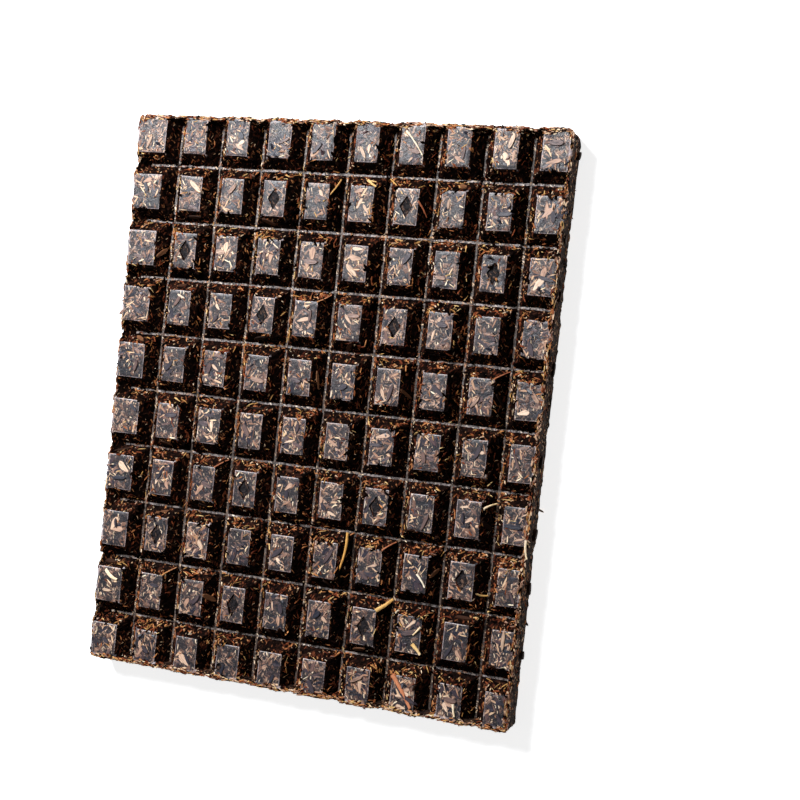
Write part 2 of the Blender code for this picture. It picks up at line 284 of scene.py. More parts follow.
def moulded_face():
    """The open upper face, as one fine grid moved on to the moulded form."""
    crossings = main_crossings()
    kinds = [[cell_kind(crossings, i, j) for j in range(len(LINES_Y) - 1)]
             for i in range(len(LINES_X) - 1)]
    middle_x, middle_y = len(LINES_X) // 2, len(LINES_Y) // 2
    spans_x = [(crossings[i + 1][middle_y][0] - crossings[i][middle_y][0]).x
               for i in range(len(LINES_X) - 1)]
    spans_y = [(crossings[middle_x][j + 1][0] - crossings[middle_x][j][0]).y
               for j in range(len(LINES_Y) - 1)]
    fine_x, fine_y = fine_lines(spans_x), fine_lines(spans_y)
    shape = bmesh.new()
    bmesh.ops.create_grid(shape, x_segments=len(fine_x) - 1, y_segments=len(fine_y) - 1, size=0.5)
    edge_highlight_share = shape.verts.layers.float.new("worn_edge")
    for corner in shape.verts:
        i, s = fine_x[round((corner.co.x + 0.5) * (len(fine_x) - 1))]
        j, t = fine_y[round((corner.co.y + 0.5) * (len(fine_y) - 1))]
        place = place_in_cell(crossings, i, s, j, t)
        near = kinds_round(kinds, i, s, j, t)
        amount = sum(ROUGHNESS[kind] for kind in near) / len(near)
        # Where a top meets its slopes the edge is crushed a little and marked for the painted highlight
        # that the tops' finish lays along it.
        if "top" in near and near.count("top") < len(near):
            chip = max(0.0, noise.noise(place / CHIP_LENGTH) - CHIP_SHARE)
            place.z -= EDGE_CRUSH + CHIP_DEPTH * chip / CHIP_SHARE
            amount = ROUGH_TOP
            corner[edge_highlight_share] = 1.0
        corner.co = place + rough_shift(place, amount)
    return shape


def add_walls_and_back(shape):
    """Carries the rim down in crumbly rings to the flat back, and closes it."""
    ring = [edge for edge in shape.edges if edge.is_boundary]
    for step in range(1, WALL_RINGS + 1):
        made = bmesh.ops.extrude_edge_only(shape, edges=ring)["geom"]
        ring = [item for item in made if isinstance(item, bmesh.types.BMEdge)]
        for corner in (item for item in made if isinstance(item, bmesh.types.BMVert)):
            drop = corner.co.z / (WALL_RINGS - step + 1)
            corner.co.z -= drop
            inset = BACK_EDGE_INSET / WALL_RINGS
            corner.co.x -= math.copysign(inset, corner.co.x)
            corner.co.y -= math.copysign(inset, corner.co.y)
    rough_walls(shape)
    for corner in {corner for edge in ring for corner in edge.verts}:
        corner.co.z = 0.0
    bmesh.ops.edgeloop_fill(shape, edges=ring)
    bmesh.ops.triangulate(shape, faces=[face for face in shape.faces if len(face.verts) > 4])
    bmesh.ops.recalc_face_normals(shape, faces=shape.faces)


def rough_walls(shape):
    """Crumbles the four sides: their points move in and out, less and less towards the foot."""
    shape.normal_update()
    for corner in shape.verts:
        if abs(corner.normal.z) < WALL_FACING and corner.co.z < THICKNESS - WALL_BELOW_TOP:
            share = min(1.0, corner.co.z / WALL_FOOT + WALL_ROUGH_LEAST)
            shift = rough_shift(corner.co, WALL_ROUGH * share)
            corner.co += Vector((shift.x, shift.y, shift.z * WALL_ROUGH_UPWARDS))


# Twelve blocks carry a plain sunk lozenge from the mould, and one has a round dent.
MARKED_BLOCKS = (
    (3, 1), (6, 1), (1, 2), (8, 2), (3, 3), (6, 3),
    (3, 6), (6, 6), (1, 7), (8, 7), (3, 8), (6, 8),
)
MARK_HALF_X = 0.0036
MARK_HALF_Y = 0.0056
MARK_DEPTH = 0.0007
MARK_WALL = 0.0005
LOZENGE_SIDES = 4
DENT_BLOCK = (3, 9)
DENT_SHIFT = Vector((-0.0042, -0.0030, 0))
DENT_RADIUS = 0.0017
DENT_SIDES = 16


def grid_place(column, row, height):
    """A place given in whole blocks from the far left corner of the pattern."""
    return Vector((column * PITCH_X - SPAN_X / 2, SPAN_Y / 2 - row * PITCH_Y, height))


def block_middle(column, row):
    return grid_place(column + 0.5, row + 0.5, THICKNESS)


def add_plug(shape, place, half_x, half_y, sides):
    """Adds the shape of one mark to the cutter: a plug that widens upwards."""
    size = Matrix.Diagonal((half_x, half_y, 1, 1))
    bmesh.ops.create_cone(shape, cap_ends=True, segments=sides, radius1=1 - MARK_WALL / half_x,
                          radius2=1 + MARK_WALL / half_x, depth=2 * MARK_DEPTH,
                          matrix=Matrix.Translation(place) @ size)


def mesh_piece(name, shape):
    mesh = bpy.data.meshes.new(name)
    shape.to_mesh(mesh)
    shape.free()
    thing = bpy.data.objects.new(name, mesh)
    bpy.context.scene.collection.objects.link(thing)
    return thing


def press_marks(brick):
    """Cuts the lozenges and the dent into the finished face."""
    shape = bmesh.new()
    for column, row in MARKED_BLOCKS:
        add_plug(shape, block_middle(column, row), MARK_HALF_X, MARK_HALF_Y, LOZENGE_SIDES)
    add_plug(shape, block_middle(*DENT_BLOCK) + DENT_SHIFT, DENT_RADIUS, DENT_RADIUS, DENT_SIDES)
    cutter = mesh_piece("mark_cutter", shape)
    cut = brick.modifiers.new("marks", "BOOLEAN")
    cut.operation = "DIFFERENCE"
    cut.solver = "EXACT"
    cut.object = cutter
    graph = bpy.context.evaluated_depsgraph_get()
    finished = bpy.data.meshes.new_from_object(brick.evaluated_get(graph), depsgraph=graph)
    brick.modifiers.clear()
    brick.data = finished
    bpy.data.objects.remove(cutter, do_unlink=True)


face_shape = moulded_face()
add_walls_and_back(face_shape)
brick = mesh_piece("pressed_brick", face_shape)
press_marks(brick)
brick.data.transform(Matrix.Translation(PATTERN_MIDDLE))


# ---- The brick: its finish ---------------------------------------------------------------------
# Pressed tea is a mat of leaf, all browns and greys. Rubbed against the mould it takes a slate
# sheen with mauve and tan leaf in it; torn open it is nearly black, flecked with rust and gold.

SLIVER_LEAN = (0.3, 0.2)
SLIVER_EDGE = (0.56, 0.48)
CHOICE_BLUR = 0.02


def set_stops(ramp, stops):
    for extra in range(len(stops) - 2):
        ramp.elements.new(0.5)
    for element, (position, colour) in zip(ramp.elements, stops):
        element.position = position
        element.color = colour


class Value:
    """One output of a node, for use in sums."""

    def __init__(self, finish, socket):
        self.finish = finish
        self.socket = socket

    def other(self, name):
        """Another output of the same node."""
        return Value(self.finish, self.socket.node.outputs[name])

    def __add__(self, other):
        return self.finish.math("ADD", self, other)

    def __radd__(self, other):
        return self.finish.math("ADD", other, self)

    def __sub__(self, other):
        return self.finish.math("SUBTRACT", self, other)

    def __rsub__(self, other):
        return self.finish.math("SUBTRACT", other, self)

    def __mul__(self, other):
        return self.finish.math("MULTIPLY", self, other)

    def __rmul__(self, other):
        return self.finish.math("MULTIPLY", other, self)


class Finish:
    """A material in the making."""

    def __init__(self, name, specular):
        self.material = bpy.data.materials.new(name)
        self.material.use_nodes = True
        self.nodes = self.material.node_tree.nodes
        self.links = self.material.node_tree.links
        self.shader = self.nodes["Principled BSDF"]
        self.shader.inputs["Specular IOR Level"].default_value = specular

    def feed(self, socket, given):
        if isinstance(given, Value):
            self.links.new(given.socket, socket)
        else:
            socket.default_value = given

    def node(self, kind, settings, inputs, output=0):
        """Adds any node, with its settings first and then its sockets, and gives one output."""
        made = self.nodes.new("ShaderNode" + kind)
        for setting, choice in settings.items():
            if setting == "stops":
                set_stops(made.color_ramp, choice)
            else:
                setattr(made, setting, choice)
        for socket, given in inputs.items():
            self.feed(made.inputs[socket], given)
        return Value(self, made.outputs[output])

    def math(self, operation, *given):
        return self.node("Math", {"operation": operation}, dict(enumerate(given)))

    def mix(self, share, first, second):
        return self.node("Mix", {"data_type": "RGBA"}, {0: share, 6: first, 7: second}, 2)

    def rise(self, value, low, high):
        """0 below low, 1 above high, and even in between."""
        return self.node("MapRange", {}, {"Value": value, "From Min": low, "From Max": high})

    def ramp(self, value, stops):
        return self.node("ValToRGB", {"stops": stops}, {0: value})

    def set(self, name, given):
        self.feed(self.shader.inputs[name], given)

    def millimetres(self):
        """The place on the piece in millimetres, bent a little as leaf bends."""
        place = self.node("TexCoord", {}, {}, "Object")
        place = self.node("VectorMath", {"operation": "SCALE"}, {0: place, "Scale": 1000.0})
        swirl = self.node("TexNoise", {}, {"Vector": place, "Scale": 0.35, "Detail": 1.0}, 1)
        return self.node("VectorMath", {"operation": "MULTIPLY_ADD"},
                         {0: swirl, 1: (2.4, 2.4, 2.4), 2: place})

    def slivers(self, place, turn, length, width, share):
        """A layer of leaf slivers that lie one way: (where they are, a tone for each)."""
        size = (length, width, (length + width) / 2)
        turned = self.node("Mapping", {"vector_type": "TEXTURE"},
                           {"Vector": place, "Rotation": (*SLIVER_LEAN, turn), "Scale": size})
        reach = self.node("TexVoronoi", {}, {"Vector": turned, "Scale": 1.0}, "Distance")
        draw = self.node("SeparateColor", {}, {0: reach.other("Color")}, "Red")
        chosen = self.rise(draw, 1 - share, 1 - share + CHOICE_BLUR)
        return chosen * self.rise(reach, *SLIVER_EDGE), draw.other("Green")


def colour(red, green, blue):
    return (red, green, blue, 1.0)


def relief(finish, height, size, strength):
    """Turns a height of 0 to 1 into a bump of that size, in metres."""
    return finish.node("Bump", {}, {"Height": height, "Distance": size, "Strength": strength})


def polished_tops():
    """Rubbed flat by the plate: slate and mauve leaf, pressed flush, with a satin sheen."""
    finish = Finish("polished_leaf", 0.45)
    place = finish.millimetres()
    cloud = finish.node("TexNoise", {}, {"Vector": place, "Scale": 0.055, "Detail": 2.0})
    clumps = finish.node("TexNoise", {}, {"Vector": place, "Scale": 0.13, "Detail": 1.0})
    grain = finish.node("TexNoise", {}, {"Vector": place, "Scale": 1.6, "Detail": 4.0})
    leaf, tone = finish.slivers(place, 0.5, 5.0, 2.2, 0.55)
    second_leaf, second_tone = finish.slivers(place, 2.0, 4.2, 1.7, 0.45)
    tint = finish.ramp(tone, [(0.0, colour(0.009, 0.010, 0.016)), (0.45, colour(0.025, 0.020, 0.026)),
                              (0.75, colour(0.066, 0.034, 0.032)), (1.0, colour(0.22, 0.115, 0.078))])
    second_tint = finish.ramp(second_tone, [(0.0, colour(0.008, 0.009, 0.014)),
                                            (0.6, colour(0.031, 0.021, 0.023)),
                                            (1.0, colour(0.17, 0.082, 0.054))])
    ground = finish.ramp(cloud, [(0.35, colour(0.008, 0.009, 0.014)), (0.65, colour(0.030, 0.021, 0.023))])
    shade = finish.mix(leaf, ground, tint)
    shade = finish.mix(second_leaf, shade, second_tint)
    height = leaf * 0.35 + second_leaf * 0.3 + grain * 0.9
    gathered = finish.rise(clumps * 0.5 + cloud * 0.5, 0.45, 0.58)
    for turn, length, width, share, strength, dark, light in (
        (1.1, 3.8, 0.8, 0.32, gathered, colour(0.23, 0.115, 0.080), colour(0.62, 0.40, 0.28)),
        (2.6, 3.0, 0.6, 0.32, gathered, colour(0.19, 0.086, 0.058), colour(0.60, 0.37, 0.25)),
        (0.1, 3.0, 0.5, 0.16, 1.0, colour(0.004, 0.003, 0.003), colour(0.02, 0.014, 0.014)),
        (1.8, 2.2, 0.45, 0.08, 1.0, colour(0.38, 0.23, 0.15), colour(0.92, 0.72, 0.50)),
    ):
        sliver, sliver_tone = finish.slivers(place, turn, length, width, share)
        shade = finish.mix(sliver * strength, shade, finish.mix(sliver_tone, dark, light))
        height = height + sliver * strength * 0.3
    shade = finish.mix(finish.rise(grain, 0.57, 0.75) * 0.6, shade, colour(0.34, 0.235, 0.195))
    cracks = finish.rise(grain, 0.45, 0.30)
    shade = finish.mix(cracks * 0.92, shade, colour(0.004, 0.003, 0.003))
    # Painted highlight: lavender-white along stretches of the top edges.
    edge = finish.node("Attribute", {"attribute_name": "worn_edge"}, {}, "Fac")
    edge_highlight_share = edge * finish.rise(clumps + grain * 0.8, 0.74, 0.98)
    shade = finish.mix(edge_highlight_share * 0.85, shade, colour(0.55, 0.46, 0.47))
    finish.set("Base Color", shade)
    finish.set("Roughness", finish.rise(grain, 0.0, 1.0) * 0.2 + cracks * 0.4 + 0.28)
    finish.set("Normal", relief(finish, height, 0.00022, 0.8))
    return finish.material


def torn_leaf(name, ground, flecks, specular, roughness):
    """Broken leaf on the slopes and sides: nearly black, with flecks of many browns."""
    finish = Finish(name, specular)
    place = finish.millimetres()
    grain = finish.node("TexNoise", {}, {"Vector": place, "Scale": 0.9, "Detail": 5.0})
    shade = finish.ramp(grain, [(0.38, ground[0]), (0.62, ground[1])])
    height = grain * 1.4
    for turn, length, width, share, dark, light in flecks:
        fleck, tone = finish.slivers(place, turn, length, width, share)
        shade = finish.mix(fleck, shade, finish.mix(tone, dark, light))
        height = height + fleck * 0.5
    finish.set("Base Color", shade)
    finish.set("Roughness", finish.rise(grain, 0.62, 0.38) * 0.25 + roughness)
    finish.set("Normal", relief(finish, height, 0.00035, 1.0))
    return finish.material


SLOPE_FLECKS = (
    (0.3, 3.0, 1.0, 0.36, colour(0.004, 0.0014, 0.0010), colour(0.028, 0.010, 0.006)),
    (1.3, 3.2, 0.8, 0.22, colour(0.034, 0.007, 0.004), colour(0.12, 0.034, 0.015)),
    (2.3, 2.4, 0.6, 0.11, colour(0.13, 0.034, 0.014), colour(0.36, 0.16, 0.066)),
    (0.8, 1.8, 0.5, 0.035, colour(0.36, 0.19, 0.09), colour(0.70, 0.50, 0.32)),
)
# The cross grooves' ground and flecks are painted lighter, painted light that lifts the shade the blocks
# cast across them.
CROSS_GROOVE_FLECKS_PAINTED_LIGHTER = (
    (0.3, 3.0, 1.2, 0.5, colour(0.050, 0.038, 0.035), colour(0.40, 0.32, 0.29)),
    (1.4, 2.4, 0.8, 0.3, colour(0.012, 0.008, 0.007), colour(0.10, 0.064, 0.050)),
    (2.4, 2.0, 0.6, 0.16, colour(0.42, 0.29, 0.22), colour(0.95, 0.80, 0.66)),
)
# The long grooves' ground and flecks are painted darker: painted shade.
LONG_GROOVE_FLECKS_PAINTED_DARKER = (
    (0.3, 3.0, 1.2, 0.5, colour(0.018, 0.009, 0.006), colour(0.13, 0.078, 0.056)),
    (1.4, 2.4, 0.8, 0.3, colour(0.010, 0.004, 0.0025), colour(0.080, 0.036, 0.020)),
    (2.4, 2.0, 0.6, 0.20, colour(0.30, 0.155, 0.080), colour(0.84, 0.62, 0.42)),
)
WALL_FLECKS = (
    (0.2, 3.4, 1.2, 0.45, colour(0.007, 0.0035, 0.0022), colour(0.038, 0.019, 0.012)),
    (1.2, 2.6, 0.8, 0.30, colour(0.034, 0.012, 0.006), colour(0.13, 0.058, 0.030)),
    (2.2, 2.2, 0.6, 0.10, colour(0.20, 0.10, 0.05), colour(0.48, 0.31, 0.18)),
)
# Near-black flecks for the sunk marks: painted shade in the recesses.
MARK_SHADE_FLECKS = (
    (0.5, 3.0, 0.9, 0.5, colour(0.006, 0.005, 0.006), colour(0.030, 0.022, 0.023)),
    (2.0, 2.2, 0.6, 0.25, colour(0.030, 0.016, 0.012), colour(0.14, 0.080, 0.055)),
)
FINISHES = {
    "top": polished_tops(),
    "slope": torn_leaf("torn_leaf_on_slopes",
                       (colour(0.0012, 0.0005, 0.0004), colour(0.0075, 0.0028, 0.0018)),
                       SLOPE_FLECKS, 0.03, 0.7),
    # Painted light: the cross grooves' floor is lighter than the long grooves' floor, making up for the
    # blocks' shade on it.
    "floor": torn_leaf("cross_groove_painted_lighter", (colour(0.022, 0.017, 0.017), colour(0.32, 0.27, 0.26)),
                       CROSS_GROOVE_FLECKS_PAINTED_LIGHTER, 0.40, 0.36),
    "wall": torn_leaf("crumbled_side", (colour(0.003, 0.0016, 0.0012), colour(0.020, 0.011, 0.008)),
                      WALL_FLECKS, 0.06, 0.65),
    # Painted shade: the long grooves' floor is darker than the cross grooves' floor.
    "lane": torn_leaf("long_groove_painted_darker", (colour(0.010, 0.005, 0.0035), colour(0.105, 0.066, 0.048)),
                      LONG_GROOVE_FLECKS_PAINTED_DARKER, 0.68, 0.34),
    # Painted shade: the sunk marks' floors and walls are darkened so the whole recess reads dark.
    "mark": torn_leaf("sunk_mark_painted_shade", (colour(0.003, 0.0025, 0.003), colour(0.014, 0.011, 0.012)),
                      MARK_SHADE_FLECKS, 0.12, 0.6),
}
ZONES = list(FINISHES)
MARK_SHALLOWEST = 0.0002
RIM_BAND_LEFT = 0.0010
RIM_BAND_RIGHT = 0.0021
RIM_BAND_NEAR = 0.0021
RIM_BAND_FAR = 0.0022
RIM_CRUMBLE_LENGTH = 0.0075
LEVEL_FACING = 0.8
SIDE_FACING = 0.25
BACK_BAND = 0.001
TOP_BAND = 0.0016
FLOOR_BAND = 0.0009
for zone_finish in FINISHES.values():
    brick.data.materials.append(zone_finish)


def in_mark(place):
    """Whether a place below a block's top lies in its sunk lozenge or in the dent."""
    column = math.floor(place.x / PITCH_X + COLUMNS / 2)
    row = math.floor(ROWS / 2 - place.y / PITCH_Y)
    if place.z > THICKNESS - MARK_SHALLOWEST or place.z < THICKNESS - 2 * MARK_DEPTH:
        return False
    if (column, row) == DENT_BLOCK:
        return (place - block_middle(column, row) - DENT_SHIFT).length < DENT_RADIUS + MARK_WALL
    across = place - block_middle(column, row)
    share = abs(across.x) / (MARK_HALF_X + MARK_WALL) + abs(across.y) / (MARK_HALF_Y + MARK_WALL)
    return (column, row) in MARKED_BLOCKS and share < 1


def on_rim(place):
    """Whether a place lies on the crumbled band beside the outline, which is widest on the right."""
    crumble = 1 + noise.noise(place / RIM_CRUMBLE_LENGTH) + 0.5 * noise.noise(place / CHIP_LENGTH)
    return min((place.x - left_side(place.y)) / RIM_BAND_LEFT,
               (right_side(place.y) - place.x) / RIM_BAND_RIGHT,
               (place.y - near_side(place.x)) / RIM_BAND_NEAR,
               (far_side(place.x) - place.y) / RIM_BAND_FAR) < crumble


def zone_of(face):
    """Which finish a face of the brick takes, by its height and the way it faces."""
    middle = face.center
    if face.normal.z < -LEVEL_FACING and middle.z < BACK_BAND:
        return "top"
    # The sunk marks take a near-black finish, painted shade in the recesses.
    if in_mark(middle):
        return "mark"
    if on_rim(middle) or face.normal.z < SIDE_FACING:
        return "wall"
    if face.normal.z > LEVEL_FACING and middle.z > THICKNESS - TOP_BAND:
        return "top"
    if face.normal.z > LEVEL_FACING and middle.z < THICKNESS - GROOVE_DEPTH + FLOOR_BAND:
        # The same groove floor is split by direction into a finish with painted shade and one with painted
        # light.
        from_groove = abs(math.remainder(middle.x - SPAN_X / 2, PITCH_X))
        return "lane" if from_groove < GROOVE_FLOOR else "floor"
    return "slope"


def paint_zones(mesh):
    mesh.transform(Matrix.Translation(-PATTERN_MIDDLE))
    for face in mesh.polygons:
        face.material_index = ZONES.index(zone_of(face))
    mesh.transform(Matrix.Translation(PATTERN_MIDDLE))


paint_zones(brick.data)
brick.data.shade_smooth()
brick.data.set_sharp_from_angle(angle=math.radians(32))
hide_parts("tea_brick")
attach(brick, "root")


# ---- Broad leaf pieces -------------------------------------------------------------------------
# Whole pieces of leaf that the press leaves a little proud: one on each plain block's top, one
# here and there on a slope, and some along the four sides.

SEED = 31
LEAF_LENGTH = (0.0055, 0.0120)
LEAF_WIDTH = (0.0016, 0.0032)
LEAF_PROUD = (0.00035, 0.00075)
LEAF_BEND = (-0.0001, 0.0003)
LEAF_ROOT = 0.0011
LEAF_SHIFT = 0.27
LEAF_ROOT_ON_WALL = 0.0022
LEAVES_ON_WALLS = 30
WALL_LEAF_TINT = 0.3
WALL_HEIGHT_SHARE = (0.3, 0.75)
WALL_TURN = (1.07, 2.07)
WALL_SPACING = (0.2, 0.8)
WALL_MARGIN = 0.014


def leaf_plate(sides, ragged, bend, seed):
    """A leaf bit 1 long, 1 wide and 1 thick from z = 0 up, with a ragged outline."""
    draw = random.Random(seed)
    shape = bmesh.new()
    bmesh.ops.create_cone(shape, cap_ends=True, segments=sides, radius1=0.5, radius2=0.38,
                          depth=1.0, matrix=Matrix.Translation((0, 0, 0.5)))
    bmesh.ops.triangulate(shape, faces=shape.faces)
    pulls = {}
    for corner in shape.verts:
        side = round(math.atan2(corner.co.y, corner.co.x) / math.tau * sides)
        pull = pulls.setdefault(side % sides, 1 + draw.uniform(-ragged, ragged))
        corner.co.y = corner.co.y * pull + bend * (0.25 - corner.co.x ** 2)
    plate = bpy.data.meshes.new("leaf_plate")
    shape.to_mesh(plate)
    shape.free()
    return plate


def mesh_arrays(mesh):
    corners = np.array([corner.co for corner in mesh.vertices])
    faces = np.array([face.vertices for face in mesh.polygons])
    return corners, faces


def joined_copies(name, template, places, tints):
    """One mesh of many copies of a template, one for each 4 by 4 place, each with its own tint."""
    corners, faces = mesh_arrays(template)
    places = np.array(places)
    turned = np.einsum("nij,vj->nvi", places[:, :3, :3], corners) + places[:, None, :3, 3]
    firsts = np.arange(len(places)) * len(corners)
    mesh = bpy.data.meshes.new(name)
    mesh.from_pydata(turned.reshape(-1, 3).tolist(), [],
                     (faces[None] + firsts[:, None, None]).reshape(-1, 3).tolist())
    tint = mesh.attributes.new("tint", "FLOAT", "POINT")
    tint.data.foreach_set("value", np.repeat(tints, len(corners)))
    along = mesh.attributes.new("along_leaf", "FLOAT_VECTOR", "POINT")
    local = corners[None] + np.arange(len(places))[:, None, None] * (0.37, 0.73, 0.0)
    along.data.foreach_set("vector", local.ravel())
    thing = bpy.data.objects.new(name, mesh)
    bpy.context.scene.collection.objects.link(thing)
    return thing


def dried_leaf(name, tones, roughness, specular=0.4):
    """Dried leaf or stalk: each bit has its own tone of the ramp, with fibres along it."""
    finish = Finish(name, specular)
    tint = finish.node("Attribute", {"attribute_name": "tint"}, {}, "Fac")
    along = finish.node("Attribute", {"attribute_name": "along_leaf"}, {}, "Vector")
    stretched = finish.node("Mapping", {}, {"Vector": along, "Scale": (2.0, 11.0, 1.0)})
    fibre = finish.node("TexNoise", {}, {"Vector": stretched, "Scale": 1.0, "Detail": 3.0})
    shade = finish.ramp(tint + (fibre - 0.5) * 0.5, tones)
    dark = finish.mix(0.75, shade, colour(0.0, 0.0, 0.0))
    shade = finish.mix(finish.rise(fibre, 0.46, 0.3), shade, dark)
    finish.set("Base Color", shade)
    finish.set("Roughness", roughness)
    finish.set("Normal", relief(finish, fibre, 0.0002, 0.8))
    return finish.material


def dress(piece, material):
    piece.data.materials.append(material)
    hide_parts("tea_brick")
    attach(piece, "root")


def on_block_top(column, row, shift_x, shift_y, turn):
    place = block_middle(column, row) + Vector((shift_x, shift_y, 0))
    return Matrix.Translation(place) @ Matrix.Rotation(turn, 4, "Z")


def on_block_slope(column, row, side, shift, turn):
    """The middle of one of a block's four slopes: side 0 faces right, 1 far, 2 left, 3 near."""
    across_x = side % 2 == 0
    run = SLOPE_RUN_X if across_x else SLOPE_RUN_Y
    reach = (BLOCK_TOP_X if across_x else BLOCK_TOP_Y) / 2 + run / 2
    place = block_middle(column, row) - Vector((0, 0, GROOVE_DEPTH / 2))
    facing = Matrix.Translation(place) @ Matrix.Rotation(side * math.pi / 2, 4, "Z")
    slope = Matrix.Rotation(math.atan2(GROOVE_DEPTH, run), 4, "Y")
    return facing @ Matrix.Translation((reach, shift, 0)) @ slope @ Matrix.Rotation(turn, 4, "Z")


def on_wall(share, height, turn):
    """A place on the four sides, with share from 0 to 1 once round the brick."""
    quarter = int(share * 4) % 4
    along = share * 4 - int(share * 4) - 0.5
    if quarter in (0, 2):
        y = along * (SPAN_Y - 2 * WALL_MARGIN)
        x = right_side(y) if quarter == 0 else left_side(y)
    else:
        x = along * (SPAN_X - 2 * WALL_MARGIN)
        y = far_side(x) if quarter == 1 else near_side(x)
    facing = Matrix.Rotation(quarter * math.pi / 2, 4, "Z")
    upright = Matrix.Rotation(math.pi / 2, 4, "Y")
    return Matrix.Translation((x, y, height)) @ facing @ upright @ Matrix.Rotation(turn, 4, "Z")


def broad_leaf(draw, place, root):
    """One leaf's place, with its size drawn: length, width and how proud it is; a bend is drawn too but
    not used.
    """
    length, width = draw.uniform(*LEAF_LENGTH), draw.uniform(*LEAF_WIDTH)
    proud = draw.uniform(*LEAF_PROUD)
    draw.uniform(*LEAF_BEND)
    sunk = Matrix.Translation((0, 0, -root))
    size = Matrix.Diagonal((length, width, proud + root, 1))
    return Matrix.Translation(PATTERN_MIDDLE) @ place @ sunk @ size


def broad_leaf_places():
    draw = random.Random(SEED)
    tops, others = [], []
    for column in range(COLUMNS):
        for row in range(ROWS):
            if (column, row) not in MARKED_BLOCKS:
                shift_x = draw.uniform(-LEAF_SHIFT, LEAF_SHIFT) * BLOCK_TOP_X
                shift_y = draw.uniform(-LEAF_SHIFT, LEAF_SHIFT) * BLOCK_TOP_Y
                place = on_block_top(column, row, shift_x, shift_y, draw.uniform(0, math.pi))
                tops.append(broad_leaf(draw, place, LEAF_ROOT))
            side = draw.choice((0, 1, 3))
            inside = column < COLUMNS - 1 and 0 < row < ROWS - 1
            if inside and (column + row) % 2 == 0:
                shift = draw.uniform(-LEAF_SHIFT, LEAF_SHIFT) * BLOCK_TOP_X
                place = on_block_slope(column, row, side, shift, draw.uniform(0, math.pi))
                others.append(broad_leaf(draw, place, LEAF_ROOT))
    for index in range(LEAVES_ON_WALLS):
        height = THICKNESS * draw.uniform(*WALL_HEIGHT_SHARE)
        turn = draw.uniform(*WALL_TURN)
        share = (index + draw.uniform(*WALL_SPACING)) / LEAVES_ON_WALLS
        others.append(broad_leaf(draw, on_wall(share, height, turn), LEAF_ROOT_ON_WALL))
    return tops, others


chance = np.random.default_rng(SEED)
top_places, other_places = broad_leaf_places()
broad_plate = leaf_plate(12, 0.22, 0.12, 5)
broad_tops = joined_copies("broad_leaves_on_tops", broad_plate, top_places,
                           chance.uniform(0, 1, len(top_places)))
dress(broad_tops, dried_leaf("broad_top_leaf", [
    (0.0, colour(0.020, 0.021, 0.033)), (0.6, colour(0.060, 0.042, 0.049)),
    (0.85, colour(0.26, 0.145, 0.105)), (1.0, colour(0.62, 0.43, 0.30))], 0.38))
other_tints = chance.uniform(0, 1, len(other_places))
other_tints[-LEAVES_ON_WALLS:] *= WALL_LEAF_TINT
broad_others = joined_copies("broad_leaves_on_slopes_and_sides", broad_plate, other_places,
                             other_tints)
dress(broad_others, dried_leaf("broad_slope_leaf", [
    (0.0, colour(0.008, 0.0035, 0.0022)), (0.6, colour(0.050, 0.018, 0.009)),
    (1.0, colour(0.20, 0.085, 0.038))], 0.65, 0.10))

# Pale leaf, torn ragged and pressed flush into the tops that carry no mark.
PALE_LEAVES = 76
PALE_LENGTH = (0.0042, 0.0105)
PALE_SLIMNESS = (0.20, 0.48)
PALE_TONE = (0.32, 0.82)
PALE_PROUD = 0.0002


def pale_leaf_place(draw, tree, column, row):
    """One pale leaf's place, laid on the brick's face as it really is there."""
    length = draw.uniform(*PALE_LENGTH)
    width = length * draw.uniform(*PALE_SLIMNESS)
    turn = draw.uniform(0, math.pi)
    room_x = BLOCK_TOP_X - length * abs(math.cos(turn)) - width * abs(math.sin(turn))
    room_y = BLOCK_TOP_Y - length * abs(math.sin(turn)) - width * abs(math.cos(turn))
    shift = Vector((draw.uniform(-0.5, 0.5) * room_x, draw.uniform(-0.5, 0.5) * room_y, 0))
    above = block_middle(column, row) + shift + PATTERN_MIDDLE + Vector((0, 0, THICKNESS))
    spot, facing = tree.ray_cast(above, Vector((0, 0, -1)))[:2]
    upright = facing.to_track_quat("Z", "Y").to_matrix().to_4x4()
    turned = Matrix.Rotation(turn - facing_turn(upright), 4, "Z")
    size = Matrix.Diagonal((length, width, PALE_PROUD + LEAF_ROOT, 1))
    return Matrix.Translation(spot) @ upright @ turned @ Matrix.Translation((0, 0, -LEAF_ROOT)) @ size


def pale_leaf_places():
    """The pale leaves' places, drawn from the blocks without a lozenge or dent."""
    draw = random.Random(SEED)
    plain = [(column, row) for column in range(COLUMNS) for row in range(ROWS)
             if (column, row) not in MARKED_BLOCKS + (DENT_BLOCK,)]
    tree = BVHTree.FromPolygons([corner.co for corner in brick.data.vertices],
                                [face.vertices for face in brick.data.polygons])
    return [pale_leaf_place(draw, tree, *draw.choice(plain)) for leaf in range(PALE_LEAVES)]


def facing_turn(upright):
    """How far a frame's own X has turned from the brick's X, seen from above."""
    way = upright.to_3x3() @ Vector((1, 0, 0))
    return math.atan2(way.y, way.x)


torn_plate = leaf_plate(14, 0.38, 0.25, 12)
pale_tones = random.Random(SEED + 1)
pale_leaves = joined_copies("pale_leaves_on_tops", torn_plate, pale_leaf_places(),
                            [pale_tones.uniform(*PALE_TONE) for leaf in range(PALE_LEAVES)])
dress(pale_leaves, dried_leaf("pale_leaf", [
    (0.0, colour(0.20, 0.10, 0.072)), (0.35, colour(0.42, 0.24, 0.165)),
    (0.75, colour(0.70, 0.48, 0.34)), (1.0, colour(0.88, 0.70, 0.53))], 0.45))


# ---- Leaf slivers and stalk bits ---------------------------------------------------------------
# Thousands of narrow bits lie at all angles in the pressed face: slate, mauve and tan where the
# plate rubbed them, rust, gold and near-black brown where the leaf is torn.

SLIVER_ROOT = 0.0003
MARK_OVERLAP = 0.8
CLUMP_LENGTH = 0.0085
CLUMP_CHOICE = 3
CLUMP_SPREAD = 0.45
SIDE_GRAIN = 4.0


